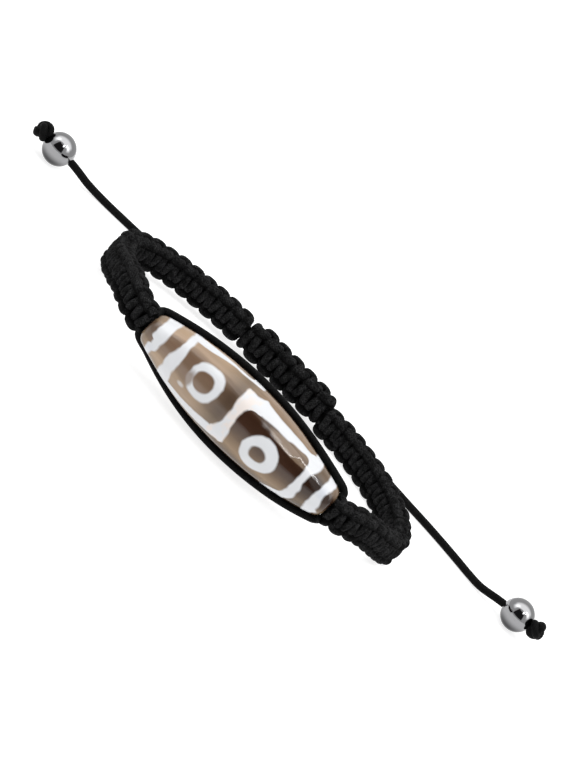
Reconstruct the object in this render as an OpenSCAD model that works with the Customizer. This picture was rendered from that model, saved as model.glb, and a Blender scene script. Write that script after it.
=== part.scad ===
// Bracelet of one barrel dzi bead on a knotted cord, lying on its edge.
// The arm goes through along Z, the bead is in front at -Y and the slide is behind at +Y.
// The floor is Z = 0, and the origin is the middle of the bracelet on the floor.

/* [Bead] */
// Length of the bead along its hole
bead_l = 40; // [38:0.5:41]
// Diameter at the middle of the bead
bead_d = 11.8; // [11.4:0.1:12.2]
// Diameter that the barrel's curve has at the bead's ends
bead_end_d = 5.2; // [5:0.1:5.6]
// Radius of the rounded edge at the bead's ends
bead_edge_r = 1.5; // [1.3:0.1:1.6]
// Diameter of the drilled hole
bead_bore_d = 1.8; // [1.7:0.1:2]
// How far the cord above the bead lies behind its top at the left, in degrees
upper_cord_left = 42; // [34:1:46]
// How far it lies behind the bead's top at the right, in degrees
upper_cord_right = 37; // [28:1:42]
// How far the cord below the bead lies behind its lowest line at the left, in degrees
lower_cord_back = 18; // [14:1:24]
// How far it lies in front of that line at the right, in degrees
lower_cord_front = 5.5; // [2:0.5:8]

/* [Cord] */
// Diameter of every cord
cord_d = 1.4; // [1.2:0.1:1.5]
// Space left between neighbouring pieces
gap = 0.05; // [0.04:0.01:0.1]

/* [Knotted bands] */
// Width of the left band, along the arm
left_band_w = 5.9; // [5.4:0.1:6.2]
// Width of the right band, along the arm
right_band_w = 5.5; // [5.2:0.1:6]
// Thickness of a band
band_t = 3.6; // [3.2:0.1:3.8]
// Depth of the scallops that the knots leave along both edges
scallop = 0.5; // [0.2:0.1:0.7]
// Square knots in the left band
left_knots = 21; // [19:1:23]
// Square knots in the right band
right_knots = 20; // [18:1:22]
// From the bead's middle to the left band's fold
left_reach = 33.6; // [32.6:0.2:34.4]
// From the bead's middle to the right band's fold
right_reach = 33; // [32.6:0.2:34]
// From the bead's axis back to the left band's fold
left_fold = 24; // [22:0.5:25]
// From the bead's axis back to the right band's fold
right_fold = 17.6; // [16.6:0.2:19]

/* [Slide] */
// Length of the knotted slide
slide_l = 19.6; // [18:0.2:20]
// Width of the slide, along the arm
slide_w = 6.2; // [6:0.1:6.5]
// Thickness of the slide
slide_t = 4.2; // [4:0.1:4.6]
// Square knots in the slide
slide_knots = 6; // [5:1:7]
// From the bead's axis back to the slide's axis
loop_depth = 36.8; // [36:0.2:37.6]

/* [Ends] */
// Diameter of the steel ball on each loose end
ball_d = 6; // [5.6:0.1:6.4]
// Diameter of the hole in each ball
ball_bore_d = 1.8; // [1.7:0.1:2]
// Diameter of each lobe of an end knot
knot_lobe_d = 2.9; // [2.6:0.1:3.1]
// Distance between the two lobes of an end knot
knot_lobe_step = 0.9; // [0.6:0.1:1]

/* [Hidden] */

LEFT = -1;
RIGHT = 1;
UP = [0, 0, 1];
cord_r = cord_d / 2;
ball_r = ball_d / 2;

// The barrel is one arc that turns into a small edge arc at each end
bead_r = bead_d / 2;
barrel_sag = (bead_d - bead_end_d) / 2;
barrel_r = (pow(bead_l / 2, 2) + pow(barrel_sag, 2)) / (2 * barrel_sag);
barrel_centre = bead_r - barrel_r;
edge_x = bead_l / 2 - bead_edge_r;
edge_turn = asin(edge_x / (barrel_r - bead_edge_r));
edge_centre = barrel_centre + (barrel_r - bead_edge_r) * cos(edge_turn);

// The bead and the right band lie on the floor, and the slide is held a little above it
hug_r = bead_r + gap + cord_r;
bead_y = -(loop_depth + slide_t / 2 - bead_r) / 2;
bead_z = cord_r + hug_r;
slide_y = bead_y + loop_depth;
slide_z = slide_w / 2 + 0.65;

// Angle round the bead's edge at which the two side cords end, beside the first knot
CORD_END = 60;
// Stretch of the bead, from its middle, over which a side cord comes round from its left turn to
// its right one
CORD_SWING = [-18, 7];

// Each band starts beside the bead with a short neck between the two side cords, and ends with
// another at the slide, where it lies in front of the loose end
neck_l = 1;
slide_neck_l = 1;
neck_w = 3.2;
neck_t = 2.6;
// Share of a band's full section that its first and last knots reach
shoulder = 0.85;
// How far in front of the slide's axis each band ends
band_end_shift = 0.8;
band_start_x = bead_l / 2 + 2 * gap;
band_end_x = slide_l / 2 + 2 * gap;
band_end_y = slide_y - band_end_shift;
RINGS_PER_KNOT = 4;

// One core cord lies above the other in the slide: the left band's core is the upper one
left_end_z = slide_z + cord_r / 2;
right_end_z = right_band_w / 2;

// Handles of the two curves in a band's plan: off the bead, before the fold, after the fold, into
// the slide. Then the stretch of band over which it comes down to the slide: start, end
LEFT_PLAN = [7.5, 7.5, 6.5, 10.2];
LEFT_DROP = [8, 27];
RIGHT_PLAN = [6.3, 2.5, 11.2, 11.5];
RIGHT_DROP = [5, 24];

// Routes of the loose ends, from the slide down to the floor and along it. The last straight run
// goes through the ball's hole
LEFT_ROUTE = [
    [-9.8, 21.5, 2.7], [-11.6, 22, 2.7], [-14, 22.6, 2.4], [-17, 23.2, 1.8], [-20, 23.6, 1.2],
    [-23, 23.9, 0.8], [-26, 24, 0.7], [-30, 24, 0.7], [-34, 23.8, 0.7], [-38, 23.4, 0.7],
    [-41, 23.1, 0.7], [-44, 22.75, 0.8], [-47, 21.9, 1.25], [-50.4, 20.7, 2.2], [-56.75, 18.45, 3.57]
];
RIGHT_ROUTE = [
    [9.8, 21.5, 4.1], [11.6, 22, 3.9], [14, 22.6, 3.4], [17, 23.3, 2.6], [20, 24, 1.9],
    [23, 24.5, 1.4], [26, 24.9, 1], [29, 25, 0.8], [32, 24.9, 0.7], [36, 24.5, 0.7],
    [40, 23.9, 0.7], [44, 23.1, 0.7], [47, 22.3, 0.75], [50, 21.4, 1.05], [54, 20.7, 2.1],
    [60, 18.7, 3.7]
];

function unit(v) = v / norm(v);

function smooth(k) = let (c = min(1, max(0, k))) c * c * (3 - 2 * c);

function mix(a, b, k) = a + (b - a) * k;

function curve(a, b, c, d, k) =
    pow(1 - k, 3) * a + 3 * pow(1 - k, 2) * k * b + 3 * (1 - k) * k * k * c + pow(k, 3) * d;

function last(list) = list[len(list) - 1];

// Direction of a route at its point i
function heading(route, i) =
    unit(route[min(i + 1, len(route) - 1)] - route[max(i - 1, 0)]);

// Length of a route up to each of its points
function runs(route) =
    let (final = len(route) - 1)
    [for (i = 0, s = 0; i <= final; i = i + 1, s = s + norm(route[min(i, final)] - route[i - 1])) s];

// Closed skin over rings that all have the same number of points
module skin(rings) {
    n = len(rings[0]);
    last_ring = (len(rings) - 1) * n;
    polyhedron(
        points = [for (ring = rings) each ring],
        faces = concat(
            [[for (k = [n - 1:-1:0]) k]],
            [[for (k = [0:n - 1]) last_ring + k]],
            [for (i = [0:len(rings) - 2]) for (k = [0:n - 1])
                let (a = i * n + k, b = i * n + (k + 1) % n) [a, b, b + n, a + n]]));
}

// Round tube along a route that leaves its start in a given direction; side is any direction that
// the route never takes
module tube(route, start, side, sides = 8) {
    skin([for (i = [0:len(route) - 1])
        let (along = i == 0 ? start : heading(route, i), out = unit(cross(along, side)),
            up = cross(out, along))
        [for (k = [0:sides - 1]) let (a = (k + 0.5) * 360 / sides)
            route[i] + cord_r * (cos(a) * out + sin(a) * up)]]);
}

// Ring of a band or slide: a rounded oblong, with its own half width above and below the middle.
// An exponent under 1 makes it fuller than an ellipse
function oblong(centre, along, above, below, half_t, sides = 12) =
    let (out = unit(cross(along, UP)), up = cross(out, along), full = 0.75)
    [for (k = [0:sides - 1]) let (a = k * 360 / sides, c = cos(a), s = sin(a))
        centre + half_t * sign(c) * pow(abs(c), full) * out
        + (s > 0 ? above : below) * sign(s) * pow(abs(s), full) * up];

// Half widths above and below at knot number k, counted in knots: the two edges take turns
function edges(k, width) =
    [width / 2 - scallop / 2 * (1 - cos(360 * k)), width / 2 - scallop / 2 * (1 + cos(360 * k))];

// Plan of a band, from the bead round the fold to the slide
function plan(side, reach, fold, pull) =
    let (a = [side * band_start_x, bead_y], f = [side * reach, bead_y + fold],
        b = [side * band_end_x, band_end_y], steps = 24)
    concat(
        [for (i = [0:steps])
            curve(a, a + [side * pull[0], 0], f - [0, pull[1]], f, i / steps)],
        [for (i = [1:steps])
            curve(f, f + [0, pull[2]], b + [side * pull[3], 0], b, i / steps)]);

// Stations of a band: run along it, half width above, half width below, half thickness
function stations(length, knots, width) =
    let (knotted = length - neck_l - gap - slide_neck_l, count = knots * RINGS_PER_KNOT)
    concat(
        [[0, neck_w / 2, neck_w / 2, neck_t / 2], [neck_l, neck_w / 2, neck_w / 2, neck_t / 2]],
        [for (i = [0:count])
            let (k = i / RINGS_PER_KNOT, e = edges(k, width), f = i % count == 0 ? shoulder : 1)
            [neck_l + gap + knotted * i / count, f * e[0], f * e[1], f * band_t / 2]],
        [[length, neck_w / 2, neck_w / 2, neck_t / 2]]);

module band(side, reach, fold, pull, drop, end_z, knots, width) {
    flat = plan(side, reach, fold, pull);
    run = runs(flat);
    xs = [for (i = [0:len(flat) - 1]) [run[i], flat[i].x]];
    ys = [for (i = [0:len(flat) - 1]) [run[i], flat[i].y]];
    rows = stations(last(run), knots, width);
    route = [for (row = rows)
        [lookup(row[0], xs), lookup(row[0], ys),
            mix(bead_z, end_z, smooth((row[0] - drop[0]) / (drop[1] - drop[0])))]];
    final = len(rows) - 1;
    skin([for (i = [0:final])
        let (along = i == 0 ? [side, 0, 0] : i == final ? [-side, 0, 0] : heading(route, i))
        oblong(route[i], along, rows[i][1], rows[i][2], rows[i][3])]);
}

// Outlines at a distance outside the bead, as points along it and out from its axis
function end_arc(side, a, pad) =
    [side * (edge_x + (bead_edge_r + pad) * sin(a)), edge_centre + (bead_edge_r + pad) * cos(a)];

function barrel_arc(a, pad) =
    [(barrel_r + pad) * sin(a), barrel_centre + (barrel_r + pad) * cos(a)];

// Outline of the bead, or of a line at a distance outside it, that goes round the edges at both
// ends as far as an angle: 90 reaches the end faces
function bead_line(pad, end, edge_steps, barrel_steps) = concat(
    [for (i = [edge_steps:-1:1]) end_arc(LEFT, mix(edge_turn, end, i / edge_steps), pad)],
    [for (i = [-barrel_steps:barrel_steps]) barrel_arc(edge_turn * i / barrel_steps, pad)],
    [for (i = [1:edge_steps]) end_arc(RIGHT, mix(edge_turn, end, i / edge_steps), pad)]);

module at_bead() {
    translate([0, bead_y, bead_z]) children();
}

module dzi_bead() {
    color([0.42, 0.34, 0.26])
    at_bead() rotate([0, 90, 0]) difference() {
        rotate_extrude($fn = 64)
            polygon(concat([[0, -bead_l / 2]], [for (p = bead_line(0, 90, 6, 16)) [p.y, p.x]],
                [[0, bead_l / 2]]));
        cylinder(d = bead_bore_d, h = bead_l + 2, center = true, $fn = 48);
    }
}

module bead_core_cord() {
    color([0.1, 0.1, 0.11])
    at_bead() rotate([0, 90, 0])
        cylinder(d = cord_d, h = bead_l + 2 * gap, center = true, $fn = 32);
}

// Cord along the bead, turned about the bead's axis from its top towards the slide: by one angle
// at its left, by another at its right
module side_cord(left_turn, right_turn) {
    route = [for (p = bead_line(cord_r + gap, CORD_END, 3, 8))
        let (k = (p.x - CORD_SWING[0]) / (CORD_SWING[1] - CORD_SWING[0]),
            turn = mix(right_turn, left_turn, pow(1 - min(1, max(0, k)), 2)))
        [p.x, p.y * sin(turn), p.y * cos(turn)]];
    color([0.09, 0.09, 0.1])
    at_bead() tube(route, unit(route[1] - route[0]), [0, 1, 0]);
}

module upper_side_cord() {
    side_cord(upper_cord_left, upper_cord_right);
}

module lower_side_cord() {
    side_cord(180 - lower_cord_back, 180 + lower_cord_front);
}

module left_band() {
    color([0.16, 0.16, 0.17])
    band(LEFT, left_reach, left_fold, LEFT_PLAN, LEFT_DROP, left_end_z, left_knots, left_band_w);
}

module right_band() {
    color([0.16, 0.16, 0.17])
    band(RIGHT, right_reach, right_fold, RIGHT_PLAN, RIGHT_DROP, right_end_z, right_knots,
        right_band_w);
}

module sliding_knot() {
    count = slide_knots * RINGS_PER_KNOT;
    color([0.14, 0.14, 0.15])
    skin([for (i = [0:count])
        let (e = edges(i / RINGS_PER_KNOT, slide_w))
        oblong([mix(-slide_l / 2, slide_l / 2, i / count), slide_y, slide_z], [1, 0, 0],
            e[0], e[1], slide_t / 2)]);
}

module left_tail_cord() {
    color([0.08, 0.08, 0.09])
    tube(LEFT_ROUTE, [LEFT, 0, 0], UP);
}

module right_tail_cord() {
    color([0.08, 0.08, 0.09])
    tube(RIGHT_ROUTE, [RIGHT, 0, 0], UP);
}

// Where a route's last straight run, at the ball's height above the floor, has the ball's middle
function ball_centre(route) =
    let (a = route[len(route) - 2], b = last(route))
    mix(a, b, (ball_r - a.z) / (b.z - a.z));

// Puts children at a point with their Z axis along a direction
module aim(at, along) {
    translate(at) rotate([0, acos(along.z), atan2(along.y, along.x)]) children();
}

module end_ball(route) {
    color([0.72, 0.73, 0.75])
    aim(ball_centre(route), heading(route, len(route) - 1)) difference() {
        sphere(d = ball_d, $fn = 64);
        cylinder(d = ball_bore_d, h = ball_d + 1, center = true, $fn = 48);
    }
}

// Two round lobes side by side across the cord
module end_knot(route) {
    along = heading(route, len(route) - 1);
    lobe_r = knot_lobe_d / 2;
    half_step = knot_lobe_step / 2;
    steps = 8;
    color([0.1, 0.1, 0.11])
    aim(last(route) + along * (lobe_r + gap), along) rotate([0, 90, 0])
        rotate_extrude($fn = 48)
            polygon([for (i = [-steps:steps])
                let (x = (half_step + lobe_r) * sin(90 * i / steps))
                [sqrt(max(0, pow(lobe_r, 2) - pow(abs(x) - half_step, 2))), x]]);
}

module left_end_ball() {
    end_ball(LEFT_ROUTE);
}

module right_end_ball() {
    end_ball(RIGHT_ROUTE);
}

module left_end_knot() {
    end_knot(LEFT_ROUTE);
}

module right_end_knot() {
    end_knot(RIGHT_ROUTE);
}

dzi_bead();
bead_core_cord();
upper_side_cord();
lower_side_cord();
left_band();
right_band();
sliding_knot();
left_tail_cord();
right_tail_cord();
left_end_ball();
right_end_ball();
left_end_knot();
right_end_knot();
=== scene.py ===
"""Dzi bead cord bracelet: the visible pieces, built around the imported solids.

Lengths are millimetres until a mesh is made, where they become metres. The arm goes through
along Z, the bead is in front at -Y and the slide is behind at +Y.
"""

import logging
import math
from dataclasses import dataclass, field
from enum import Enum
from functools import partialmethod, reduce
from typing import Optional, Sequence, Union

import bpy
import numpy as np
from mathutils import Matrix


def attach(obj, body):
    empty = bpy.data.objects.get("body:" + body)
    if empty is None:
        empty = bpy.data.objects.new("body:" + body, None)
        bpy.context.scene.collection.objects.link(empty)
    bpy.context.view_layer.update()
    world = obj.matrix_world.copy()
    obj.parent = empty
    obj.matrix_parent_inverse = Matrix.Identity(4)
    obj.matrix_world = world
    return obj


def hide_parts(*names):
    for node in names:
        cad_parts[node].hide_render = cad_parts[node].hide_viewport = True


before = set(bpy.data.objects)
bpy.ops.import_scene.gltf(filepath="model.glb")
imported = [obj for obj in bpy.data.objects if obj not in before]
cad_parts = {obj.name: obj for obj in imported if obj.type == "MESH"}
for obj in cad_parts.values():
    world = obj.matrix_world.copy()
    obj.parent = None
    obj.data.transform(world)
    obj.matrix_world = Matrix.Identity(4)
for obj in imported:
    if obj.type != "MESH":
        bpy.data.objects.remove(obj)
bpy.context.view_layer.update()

log = logging.getLogger("bracelet")

MM = 0.001
FULL_TURN = 2 * math.pi
UP = np.array([0.0, 0.0, 1.0])
ROOT = "root"
# The UV map that holds the distance along a cord and the turn round it
RUN_MAP = "cord_run"
CORD_D = 1.4
CORD_R = CORD_D / 2
GAP = 0.05
SLIDE_Y = 20.3

Points = np.ndarray
Link = bpy.types.NodeSocket
Colour = Union[tuple, Link]
Number = Union["Value", float, int]


# Shader helpers


@dataclass(frozen=True)
class Value:
    """A number in a node tree, so that shader maths reads as Python."""

    tree: "Tree"
    socket: Link

    def _math(self, operation: str, *others: Number, swap: bool = False) -> "Value":
        """Adds one Math node.

        Args:
            operation: the Math node's operation
            others: the other numbers, if it takes any
            swap: puts this number after the other one

        Returns:
            The node's result.
        """
        parts: list[Number] = [self, *others]
        if swap:
            parts.reverse()
        made = self.tree.add("ShaderNodeMath", dict(enumerate(parts)), operation=operation)
        return Value(self.tree, made.outputs[0])

    # Python's operators and the other sums, each as one Math node
    __add__ = __radd__ = partialmethod(_math, "ADD")
    __sub__ = partialmethod(_math, "SUBTRACT")
    __rsub__ = partialmethod(_math, "SUBTRACT", swap=True)
    __mul__ = __rmul__ = partialmethod(_math, "MULTIPLY")
    __truediv__ = partialmethod(_math, "DIVIDE")
    absolute = partialmethod(_math, "ABSOLUTE")
    sine = partialmethod(_math, "SINE")
    root = partialmethod(_math, "SQRT")
    power = partialmethod(_math, "POWER")
    arc = partialmethod(_math, "ARCSINE")
    most = partialmethod(_math, "MAXIMUM")
    # Angle whose tangent is this number over the other one
    angle = partialmethod(_math, "ARCTAN2")

    def step(self, low: float, high: float) -> "Value":
        """Smooth step.

        Args:
            low: the number that gives 0
            high: the number that gives 1; it may be less than low

        Returns:
            0 to 1.
        """
        made = self.tree.add(
            "ShaderNodeMapRange",
            {"Value": self, "From Min": low, "From Max": high, "To Min": 0.0, "To Max": 1.0},
            interpolation_type="SMOOTHSTEP", clamp=True,
        )
        return Value(self.tree, made.outputs[0])


@dataclass(frozen=True)
class Tree:
    """The node tree of one material or of the world."""

    nodes: bpy.types.NodeTree

    def add(self, kind: str, sockets: Optional[dict] = None, **settings: object) -> bpy.types.Node:
        """Adds a node.

        Args:
            kind: the node's type
            sockets: values or links by socket name or number
            settings: the node's attributes, set first

        Returns:
            The new node.
        """
        made = self.nodes.nodes.new(kind)
        for name, setting in settings.items():
            setattr(made, name, setting)
        for name, value in (sockets or {}).items():
            socket = made.inputs[name]
            if isinstance(value, (Value, Link)):
                self.nodes.links.new(getattr(value, "socket", value), socket)
            else:
                socket.default_value = value
        return made

    def curve(self, value: Value, points: Sequence[tuple]) -> Value:
        """Reads a smooth curve through points.

        Args:
            value: where to read it
            points: pairs of input and output, by rising input

        Returns:
            The curve's height there.
        """
        made = self.add("ShaderNodeFloatCurve", {"Value": value})
        made.mapping.use_clip = False
        curve = made.mapping.curves[0]
        while len(curve.points) < len(points):
            curve.points.new(0.0, 0.0)
        for point, place in zip(curve.points, points):
            point.location = place
            point.handle_type = "AUTO_CLAMPED"
        made.mapping.update()
        return Value(self, made.outputs[0])

    def ramp(self, value: Value, stops: Sequence[tuple]) -> Link:
        """Reads a colour ramp.

        Args:
            value: where to read it
            stops: pairs of input and colour, by rising input

        Returns:
            The ramp's colour there.
        """
        made = self.add("ShaderNodeValToRGB", {0: value})
        elements = made.color_ramp.elements
        while len(elements) < len(stops):
            elements.new(0.5)
        for element, (position, colour) in zip(elements, stops):
            element.position = position
            element.color = colour
        return made.outputs[0]

    def mix(self, share: Number, first: Colour, second: Colour) -> Link:
        """Mixes two colours.

        Args:
            share: how much of the second there is
            first: colour or link
            second: colour or link

        Returns:
            The mixed colour.
        """
        sockets = {0: share, 6: first, 7: second}
        return self.add("ShaderNodeMix", sockets, data_type="RGBA").outputs[2]

    def noise(self, at: Link, scale: float, detail: float, rough: float) -> Value:
        """Cloudy noise.

        Args:
            at: the place to read
            scale: how many patches there are in a unit of the place
            detail: octaves
            rough: weight of the fine octaves

        Returns:
            About 0.2 to 0.8.
        """
        sockets = {"Vector": at, "Scale": scale, "Detail": detail, "Roughness": rough}
        return Value(self, self.add("ShaderNodeTexNoise", sockets).outputs[0])

    def vector(self, x: Number, y: Number, z: Number) -> Link:
        """Joins three numbers into a place."""
        return self.add("ShaderNodeCombineXYZ", {0: x, 1: y, 2: z}).outputs[0]

    def parts(self, place: Link) -> list[Value]:
        """Splits a place into its three numbers."""
        made = self.add("ShaderNodeSeparateXYZ", {0: place})
        return [Value(self, socket) for socket in made.outputs]

    def place(self) -> Link:
        """The place on the piece, in metres, as its mesh has it."""
        return self.add("ShaderNodeTexCoord").outputs["Object"]

    def bump(self, height: Value, distance: float, strength: float = 1.0) -> Link:
        """Turns a height into a normal.

        Args:
            height: 0 to 1
            distance: metres between a height of 0 and of 1
            strength: share of the bump that is used

        Returns:
            The bumped normal.
        """
        sockets = {"Height": height, "Distance": distance, "Strength": strength}
        return self.add("ShaderNodeBump", sockets).outputs[0]


def empty_tree(owner: Union[bpy.types.Material, bpy.types.World]) -> Tree:
    """Gives a material or a world an empty tree.

    Args:
        owner: the material or world

    Returns:
        Its tree.
    """
    owner.use_nodes = True
    owner.node_tree.nodes.clear()
    return Tree(owner.node_tree)


# Finishes


class Finish:
    """A material with one Principled surface."""

    name: str

    def make(self) -> bpy.types.Material:
        """Builds the material.

        Returns:
            The material.
        """
        material = bpy.data.materials.new(self.name)
        tree = empty_tree(material)
        surface = tree.add("ShaderNodeBsdfPrincipled", self.sockets(tree))
        tree.add("ShaderNodeOutputMaterial", {"Surface": surface.outputs[0]})
        return material


@dataclass(frozen=True)
class CordFinish(Finish):
    """Braided black cord, dull and fibrous or smooth.

    The depths and the plait, which is the length of one stitch of the braid, are in mm. The groove shade
    is how much darker the cord is painted away from its crown: painted shade in the grooves between the
    strands.
    """

    name: str
    fleck: tuple
    rough: float
    fuzz_depth: float
    shine: float
    groove_shade: float = 0.0
    dark: tuple = (0.0012, 0.0012, 0.0012, 1)
    braid_depth: float = 0.05
    plait: float = 0.4
    strands_round: int = 12

    def sockets(self, tree: Tree) -> dict:
        """Builds the nodes.

        Args:
            tree: the material's tree

        Returns:
            The surface's values and links.
        """
        run, turn, _ = tree.parts(tree.add("ShaderNodeUVMap", uv_map=RUN_MAP).outputs[0])
        along = run * (FULL_TURN / (self.plait * MM))
        around = turn * (FULL_TURN * self.strands_round)
        place = tree.place()
        uneven = tree.noise(place, 2200.0, 1.0, 0.5) * 4.0
        braid = (along + uneven).sine() * (around + uneven).sine() * 0.5 + 0.5
        fuzz = tree.noise(place, 3400.0, 3.0, 0.75)
        patch = tree.noise(place, 900.0, 2.0, 0.5)
        hair = tree.noise(place, 6000.0, 1.0, 0.5).step(0.66, 0.78)
        # Each strand's outward side is the quarter turn of its map
        crown = (turn * FULL_TURN + math.pi / 2).sine() * 0.5 + 0.5
        # Painted shade: the cord is darkened away from each strand's crown, in the grooves between strands
        raised = crown.step(0.42, 1.0) * self.groove_shade + (1.0 - self.groove_shade)
        grain = (fuzz * 0.85 + braid * 0.15).step(0.3, 0.8)
        light = (grain * (patch.step(0.3, 0.65) * 0.7 + 0.3) + hair * 0.6) * raised
        height = braid * self.braid_depth + fuzz * self.fuzz_depth
        return {
            "Base Color": tree.mix(light, self.dark, self.fleck),
            "Roughness": patch * 0.16 + (self.rough - 0.08),
            "Specular IOR Level": self.shine,
            "Normal": tree.bump(height, MM),
        }


@dataclass(frozen=True)
class SteelFinish(Finish):
    """Polished steel with the faintest of marks, with painted shade near the surface that it lies on,
    where the contact shadow is reflected.
    """

    name: str = "polished_steel"
    colour: tuple = (0.28, 0.28, 0.285, 1.0)
    smeared: tuple = (0.3, 0.3, 0.32, 1.0)
    contact_shade: tuple = (0.02, 0.02, 0.021, 1.0)
    contact_shade_top: float = 2.8
    contact_shade_full: float = 0.9
    mark_depth: float = 0.002

    def sockets(self, tree: Tree) -> dict:
        """Builds the nodes.

        Args:
            tree: the material's tree

        Returns:
            The surface's values and links.
        """
        place = tree.place()
        smear = tree.noise(place, 400.0, 3.0, 0.6)
        scratch = tree.noise(place, 6000.0, 2.0, 0.6)
        # Painted shade: the steel is darkened close above the floor, standing in for its reflected contact
        # shadow
        low = (tree.parts(place)[2] / MM).step(self.contact_shade_top, self.contact_shade_full)
        plain = tree.mix(smear.step(0.3, 0.8) * 0.2, self.colour, self.smeared)
        return {
            "Base Color": tree.mix(low * 0.92, plain, self.contact_shade),
            "Metallic": 1.0,
            "Roughness": smear * 0.05 + 0.05,
            "Normal": tree.bump(scratch, self.mark_depth * MM, 0.5),
        }


@dataclass(frozen=True)
class EtchedLine:
    """One white line of the bead, in mm on its unrolled face.

    Upright lines give their left and right edges at heights, level ones their lower and upper
    edges at places along the bead.
    """

    low: tuple
    high: tuple
    upright: bool = True
    ends: tuple = ()


@dataclass(frozen=True)
class Eye:
    """A ring-shaped eye: outer oval with its squareness, and hole."""

    centre: tuple
    size: tuple
    squareness: float
    hole: tuple
    hole_size: tuple


@dataclass(frozen=True)
class Patch:
    """An oval patch of the bead's face, and how far outside it fades out and is full."""

    centre: tuple
    size: tuple
    fades: float
    full: float


ETCHED_LINES = (
    EtchedLine(
        ((-9.3, -18.2), (-5, -18.2), (-3.9, -18.05), (-3.4, -17.75), (-2.3, -17.75),
         (-1.8, -18.4), (-1.2, -18.6), (0, -18.5), (4, -18.4), (9.3, -18.6)),
        ((-9.3, -17), (-5, -16.75), (-4, -16.4), (0, -16.3), (4, -16.3), (9.3, -16.1)),
    ),
    EtchedLine(
        ((-9.3, -14.2), (-5, -14.2), (-2, -14.4), (0, -14), (4, -13.9), (9.3, -13.9)),
        ((-9.3, -11.9), (-6.3, -11.7), (-4, -12.1), (0, -12.3), (2.5, -12.6), (9.3, -12.6)),
    ),
    EtchedLine(
        ((-9.3, 13), (-6.5, 12.8), (-5, 13), (-2, 13.15), (1.3, 13.2), (3, 12.9), (9.3, 12.9)),
        ((-9.3, 13.8), (-7.5, 14), (-6.5, 14.5), (-5.5, 14.8), (-3, 14.9), (-1.8, 14.8),
         (-0.4, 14.4), (1.4, 14.4), (3, 14.8), (5, 15), (7, 14.9), (9.3, 14.5)),
    ),
    EtchedLine(
        ((-9.3, 17.2), (-6, 17), (-3, 16.8), (0, 16.8), (2, 17), (5, 17), (9.3, 16.7)),
        ((-9.3, 18.5), (-6.5, 18.7), (-5.4, 19.1), (-4, 18.8), (-2, 18.7), (0, 18.4),
         (2, 18.3), (4, 18.6), (9.3, 18.7)),
    ),
    EtchedLine(
        ((-9.3, -2.6), (-4.9, -2.3), (-4, -1.8), (-3, -1.5), (-1.5, -1.4), (0, -1.5),
         (1, -1.8), (3, -1.9), (5, -1.75)),
        ((-6.5, 0.5), (-5.7, 1.05), (-5, 1), (-4, 0.8), (-2, 0.4), (-0.3, 0.1), (0.9, 0.15),
         (1.6, 0.4), (2.1, 1.2), (2.4, 2.5), (5, 2.5)),
        ends=(-6.3, 4.6),
    ),
    EtchedLine(
        ((-13, 5), (-10, 5.2), (-8, 5.7), (-6, 6.1), (-4, 6.15), (-2, 6.4), (0.2, 6.8)),
        ((-13, 8.6), (-12, 7.8), (-10, 7.3), (-8, 7.1), (-4, 6.9), (-3, 7), (-2.3, 7.6),
         (-1.9, 9.6), (0.2, 9.6)),
        upright=False, ends=(-13, 0.05),
    ),
    EtchedLine(
        ((-13, -8.6), (-10, -8.1), (-6, -7.6), (-4, -7.3), (-2, -6.85), (0, -6.3), (1, -5.9)),
        ((-13, -6.6), (-10, -6.3), (-8, -6), (-6, -5.6), (-4, -5.2), (-2.2, -4.9), (1, -4.9)),
        upright=False, ends=(-13, 0.9),
    ),
    EtchedLine(
        ((-2, 1.5), (0.3, 1.5), (0.8, 2.05), (2, 2.3), (4, 2.7), (6, 2.9), (8, 3.1), (9, 3.45),
         (11, 3.85), (11.8, 4.15), (12.4, 3.95), (12.9, 3), (13.6, 2)),
        ((-2, 4.4), (0, 4.65), (1, 5.1), (1.6, 5.5), (2.4, 5.2), (4, 5), (8, 5.1), (10, 5.35),
         (12, 5.6), (12.7, 6.4), (13.6, 7.5)),
        upright=False, ends=(-1.8, 13.6),
    ),
    EtchedLine(
        ((9.5, -9.6), (11.5, -9.2), (12.5, -8.5), (13.6, -8.2)),
        ((9.5, -8.4), (10.4, -7.5), (11, -7), (12, -6.5), (12.6, -6.1), (13.1, -5.4), (13.6, -5)),
        upright=False, ends=(9.6, 13.6),
    ),
)
EYES = (
    Eye((-7.4, -0.3), (2.9, 3.3), 2.5, (-7.5, -0.5), (1.8, 1.85)),
    Eye((6.5, -2.5), (3.3, 3.3), 1.85, (6.25, -2.6), (1.45, 1.3)),
)
# The left eye's ring is worn away at its left foot, and a fleck lies below it
WORN = Patch((-9.75, -2.1), (0.75, 1.5), 0.5, -0.3)
FLECK = Patch((-9.9, -3.9), (0.5, 0.35), 0.3, -0.2)
# Two greyish places on the white, and above the right eye a paler lens, partly the stone's own tone
# and partly a painted reflection of soft light
GREY_SPOT = Patch((17.8, 1.2), (0.7, 1.3), 0.8, -0.6)
GREY_FOOT = Patch((-17.6, -6.4), (1.2, 2.0), 1.0, -0.6)
PALE_LENS_AND_SHEEN = Patch((9.6, 2.3), (4.6, 0.85), 0.15, -0.15)
# The peach part of the middle line: along the bead, and up its face
STEM = ((-2.4, 1.3), (-6.5, 5.0))
# The stone's colours reach this far down and up its unrolled face
FACE_EDGE = 9.3
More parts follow.
